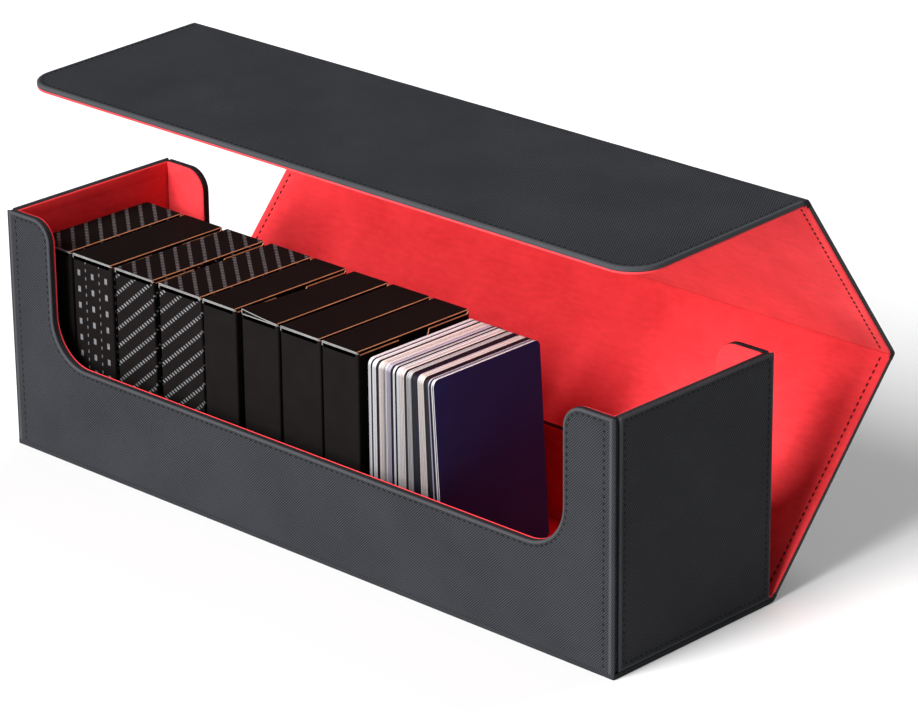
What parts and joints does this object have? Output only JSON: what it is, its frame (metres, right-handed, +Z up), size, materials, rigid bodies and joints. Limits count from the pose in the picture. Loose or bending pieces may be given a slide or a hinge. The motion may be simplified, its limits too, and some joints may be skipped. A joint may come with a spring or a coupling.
{
  "type": "trading card storage box",
  "caption": "Long leather-covered card storage box with a red-lined tray cut low for reaching in, a wrap-around folding cover, and removable tuck boxes and loose cards.",
  "frame": {"origin": "centre of the tray's underside, on the table", "axes": "+X along the box, -Y the side with the reach-in edge toward the user, +Z up"},
  "size_m": [0.3544, 0.1718, 0.1691],
  "materials": {
    "black_leather": "fine twill embossed artificial leather, satin",
    "red_suede": "short napped microsuede, matte",
    "greyboard": "dense greyboard, matte",
    "black_thread": "waxed sewing thread",
    "magnet_steel": "plain, hidden",
    "black_paperboard": "coated black paperboard, semi-gloss, kraft core at the cut edges",
    "white_card": "coated card stock seen edge on",
    "dark_card": "smooth plain dark purple card"
  },
  "bodies": {
    "tray": {"cover_base_skin": "black_leather", "cover_base_board": "greyboard", "tray_floor_board": "greyboard", "tray_floor_lining": "red_suede", "tray_front_board": "greyboard", "tray_front_skin": "black_leather", "tray_front_lining": "red_suede", "tray_front_stitching": "black_thread", "tray_back_board": "greyboard", "tray_back_skin": "black_leather", "tray_back_lining": "red_suede", "tray_back_stitching": "black_thread", "tray_left_board": "greyboard", "tray_left_skin": "black_leather", "tray_left_lining": "red_suede", "tray_left_stitching": "black_thread", "tray_right_board": "greyboard", "tray_right_skin": "black_leather", "tray_right_lining": "red_suede", "tray_right_stitching": "black_thread", "tray_magnets": "magnet_steel"},
    "back_panel": {"back_panel_board": "greyboard", "back_panel_skin": "black_leather", "back_panel_lining": "red_suede", "back_panel_stitching": "black_thread", "crease_rear_strip": "black_leather"},
    "top_panel": {"top_panel_board": "greyboard", "top_panel_skin": "black_leather", "top_panel_lining": "red_suede", "top_panel_stitching": "black_thread", "crease_upper_strip": "black_leather"},
    "front_flap": {"front_flap_board": "greyboard", "front_flap_skin": "black_leather", "front_flap_lining": "red_suede", "front_flap_stitching": "black_thread", "flap_magnets": "magnet_steel", "crease_front_strip": "black_leather"},
    "deck_box_1": {"deck_box_1_carton": "black_paperboard", "deck_box_1_lid": "black_paperboard"},
    "deck_box_2": {"deck_box_2_carton": "black_paperboard", "deck_box_2_lid": "black_paperboard"},
    "deck_box_3": {"deck_box_3_carton": "black_paperboard", "deck_box_3_lid": "black_paperboard"},
    "deck_box_4": {"deck_box_4_carton": "black_paperboard", "deck_box_4_lid": "black_paperboard"},
    "deck_box_5": {"deck_box_5_carton": "black_paperboard", "deck_box_5_lid": "black_paperboard"},
    "deck_box_6": {"deck_box_6_carton": "black_paperboard", "deck_box_6_lid": "black_paperboard"},
    "deck_box_7": {"deck_box_7_carton": "black_paperboard", "deck_box_7_lid": "black_paperboard"},
    "deck_box_8": {"deck_box_8_carton": "black_paperboard", "deck_box_8_lid": "black_paperboard"},
    "cards": {"card_stack": "white_card", "front_card": "dark_card"}
  },
  "joints": [
    {"name": "rear_crease", "type": "hinge", "parent": "tray", "child": "back_panel", "pos_m": [0, 0.0497, 0.0018], "axis": [-1, 0, 0], "range_deg": [-41.2, 48.8], "deforming": ["crease_rear_strip"]},
    {"name": "upper_crease", "type": "hinge", "parent": "back_panel", "child": "top_panel", "pos_m": [0, 0.12413, 0.08682], "axis": [-1, 0, 0], "range_deg": [-13.1, 76.9], "deforming": ["crease_upper_strip"]},
    {"name": "front_crease", "type": "hinge", "parent": "top_panel", "child": "front_flap", "pos_m": [0, 0.06613, 0.16754], "axis": [-1, 0, 0], "range_deg": [-34, 56], "deforming": ["crease_front_strip"]},
    {"name": "deck_box_1_lift", "type": "slide", "parent": "tray", "child": "deck_box_1", "axis": [0, 0, 1], "range_m": [0, 0.055]},
    {"name": "deck_box_2_lift", "type": "slide", "parent": "tray", "child": "deck_box_2", "axis": [0, 0, 1], "range_m": [0, 0.055]},
    {"name": "deck_box_3_lift", "type": "slide", "parent": "tray", "child": "deck_box_3", "axis": [0, 0, 1], "range_m": [0, 0.055]},
    {"name": "deck_box_4_lift", "type": "slide", "parent": "tray", "child": "deck_box_4", "axis": [0, 0, 1], "range_m": [0, 0.055]},
    {"name": "deck_box_5_lift", "type": "slide", "parent": "tray", "child": "deck_box_5", "axis": [0, 0, 1], "range_m": [0, 0.055]},
    {"name": "deck_box_6_lift", "type": "slide", "parent": "tray", "child": "deck_box_6", "axis": [0, 0, 1], "range_m": [0, 0.055]},
    {"name": "deck_box_7_lift", "type": "slide", "parent": "tray", "child": "deck_box_7", "axis": [0, 0, 1], "range_m": [0, 0.055]},
    {"name": "deck_box_8_lift", "type": "slide", "parent": "tray", "child": "deck_box_8", "axis": [0, 0, 1], "range_m": [0, 0.055]},
    {"name": "cards_lift", "type": "slide", "parent": "tray", "child": "cards", "axis": [0, 0, 1], "range_m": [0, 0.055]}
  ]
}
